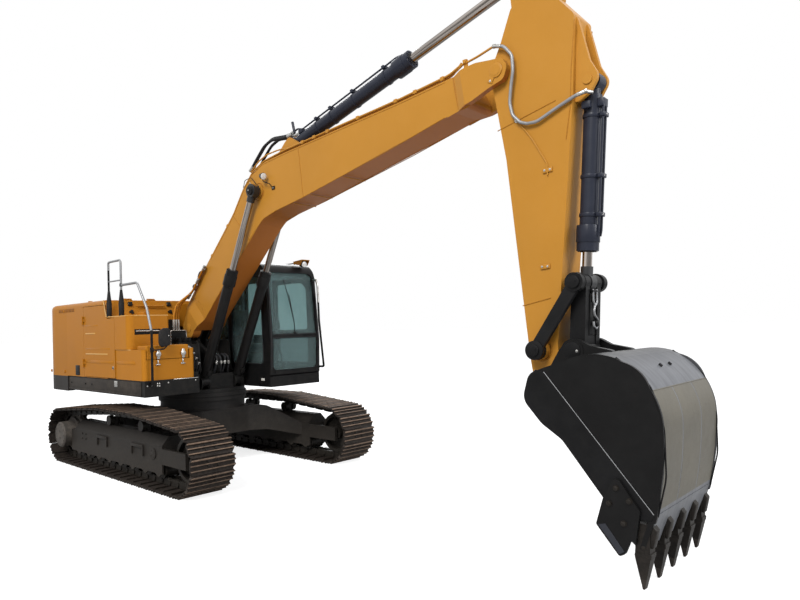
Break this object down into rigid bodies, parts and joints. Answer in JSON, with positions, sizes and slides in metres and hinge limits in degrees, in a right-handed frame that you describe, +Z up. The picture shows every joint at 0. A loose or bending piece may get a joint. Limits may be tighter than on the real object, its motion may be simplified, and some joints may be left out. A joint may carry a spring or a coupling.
{
  "type": "crawler excavator",
  "caption": "Crawler excavator on steel tracks with a slewing cab house, cranked boom, arm and toothed digging bucket, all jointed with coupled hydraulic cylinders.",
  "frame": {"origin": "middle of the machine's length and width at rest, on the ground; the swing axis is at x = -1.957 m", "axes": "+X forwards towards the bucket, +Y to the machine's left, the cab's side, +Z up"},
  "size_m": [9.6224, 2.98, 5.132],
  "materials": {
    "yellow": "semi gloss",
    "black": "semi gloss",
    "frame_black": "satin",
    "track_steel": "worn",
    "bare_steel": "machined",
    "cast_weight": "semi gloss",
    "chrome": "polished",
    "bucket_black": "semi gloss",
    "tooth_steel": "satin",
    "glass": "tinted",
    "seat_fabric": "woven",
    "dark_plastic": "moulded",
    "engine": "painted"
  },
  "bodies": {
    "undercarriage": {"car_body": "frame_black", "swing_bearing": "bare_steel", "track_left": "track_steel", "track_frame_left": "frame_black", "sprocket_left": "frame_black", "idler_left": "frame_black", "track_rollers_left": "frame_black", "track_right": "track_steel", "track_frame_right": "frame_black", "sprocket_right": "frame_black", "idler_right": "frame_black", "track_rollers_right": "frame_black"},
    "house": {"revolving_frame": "frame_black", "counterweight": "cast_weight", "lifting_eyes": "cast_weight", "housing_panels": "yellow", "fuel_tank": "yellow", "toolbox": "yellow", "engine_block": "engine", "valve_bank": "frame_black", "swing_motor": "frame_black", "handrails": "frame_black", "cab_body": "black", "cab_glass": "glass", "operator_seat": "seat_fabric", "control_consoles": "dark_plastic", "cab_fittings": "black"},
    "hood": {"engine_hood": "yellow"},
    "right_door": {"right_service_door": "yellow"},
    "left_door": {"left_service_door": "yellow"},
    "toolbox_lid": {"toolbox_lid": "yellow"},
    "cab_door": {"cab_door": "black", "cab_door_glass": "glass"},
    "boom": {"boom": "yellow"},
    "boom_barrels": {"boom_cylinder_barrels": "black"},
    "boom_rods": {"boom_cylinder_rods": "chrome"},
    "arm_barrel": {"arm_cylinder_barrel": "black"},
    "arm_rod": {"arm_cylinder_rod": "chrome"},
    "arm": {"arm": "yellow"},
    "bucket_barrel": {"bucket_cylinder_barrel": "black"},
    "bucket_rod": {"bucket_cylinder_rod": "chrome"},
    "rockers": {"rocker_links": "black"},
    "link": {"bucket_link": "black"},
    "bucket": {"bucket": "bucket_black", "bucket_teeth": "tooth_steel"}
  },
  "joints": [
    {"name": "swing", "type": "hinge", "parent": "undercarriage", "child": "house", "pos_m": [-1.957, 0, 1.035], "axis": [0, 0, 1], "continuous": true},
    {"name": "boom_lift", "type": "hinge", "parent": "house", "child": "boom", "pos_m": [-1.927, 0, 1.965], "axis": [0, -1, 0], "range_deg": [-68, 36]},
    {"name": "boom_barrel_tilt", "type": "hinge", "parent": "house", "child": "boom_barrels", "pos_m": [-1.482, 0, 1.2], "axis": [0, -1, 0], "range_deg": [-61.32, 32.52]},
    {"name": "boom_rod_slide", "type": "slide", "parent": "boom_barrels", "child": "boom_rods", "axis": [0.455, 0, 0.8905], "range_m": [-0.9146, 0.4852]},
    {"name": "arm_crowd", "type": "hinge", "parent": "boom", "child": "arm", "pos_m": [3.375, 0, 4.166], "axis": [0, 1, 0], "range_deg": [-80, 33]},
    {"name": "arm_barrel_tilt", "type": "hinge", "parent": "boom", "child": "arm_barrel", "pos_m": [0.335, 0, 4.216], "axis": [0, 1, 0], "range_deg": [-0.2506, 0.1037]},
    {"name": "arm_rod_slide", "type": "slide", "parent": "arm_barrel", "child": "arm_rod", "axis": [0.9691, 0, 0.2466], "range_m": [-0.9102, 0.3766]},
    {"name": "bucket_curl", "type": "hinge", "parent": "arm", "child": "bucket", "pos_m": [3.743, 0, 1.248], "axis": [0, 1, 0], "range_deg": [-9, 160]},
    {"name": "rocker_turn", "type": "hinge", "parent": "arm", "child": "rockers", "pos_m": [3.683, 0, 1.665], "axis": [0, 1, 0], "range_deg": [-6.72, 115.53]},
    {"name": "link_turn", "type": "hinge", "parent": "rockers", "child": "link", "pos_m": [4.026, 0, 2.224], "axis": [0, 1, 0], "range_deg": [-79.31, 4.61]},
    {"name": "bucket_barrel_tilt", "type": "hinge", "parent": "arm", "child": "bucket_barrel", "pos_m": [4.153, 0, 3.885], "axis": [0, 1, 0], "range_deg": [-6.76, 0.39]},
    {"name": "bucket_rod_slide", "type": "slide", "parent": "bucket_barrel", "child": "bucket_rod", "axis": [-0.0762, 0, -0.9971], "range_m": [-0.0607, 1.0447]},
    {"name": "hood_lift", "type": "hinge", "parent": "house", "child": "hood", "pos_m": [-2.324, 0, 2.405], "axis": [0, 1, 0], "range_deg": [0, 60]},
    {"name": "right_door_swing", "type": "hinge", "parent": "house", "child": "right_door", "pos_m": [-2.96, -1.37, 1.3], "axis": [0, 0, -1], "range_deg": [0, 110]},
    {"name": "left_door_swing", "type": "hinge", "parent": "house", "child": "left_door", "pos_m": [-3.54, 1.37, 1.3], "axis": [0, 0, 1], "range_deg": [0, 110]},
    {"name": "toolbox_lid_lift", "type": "hinge", "parent": "house", "child": "toolbox_lid", "pos_m": [-1.496, -1.343, 1.712], "axis": [0, -1, 0], "range_deg": [0, 75]},
    {"name": "cab_door_swing", "type": "hinge", "parent": "house", "child": "cab_door", "pos_m": [-1.87, 1.37, 1.09], "axis": [0, 0, 1], "range_deg": [0, 160]}
  ],
  "couplings": [
    {"joint": "boom_barrel_tilt", "follows": "boom_lift", "ratio": 0.9},
    {"joint": "boom_rod_slide", "follows": "boom_lift", "m_per_rad": 0.76897},
    {"joint": "arm_barrel_tilt", "follows": "arm_crowd", "ratio": 0.003125},
    {"joint": "arm_rod_slide", "follows": "arm_crowd", "m_per_rad": 0.65044},
    {"joint": "rocker_turn", "follows": "bucket_curl", "ratio": 0.72064},
    {"joint": "link_turn", "follows": "bucket_curl", "ratio": -0.49473},
    {"joint": "bucket_barrel_tilt", "follows": "bucket_curl", "ratio": -0.042188},
    {"joint": "bucket_rod_slide", "follows": "bucket_curl", "m_per_rad": 0.37341}
  ]
}
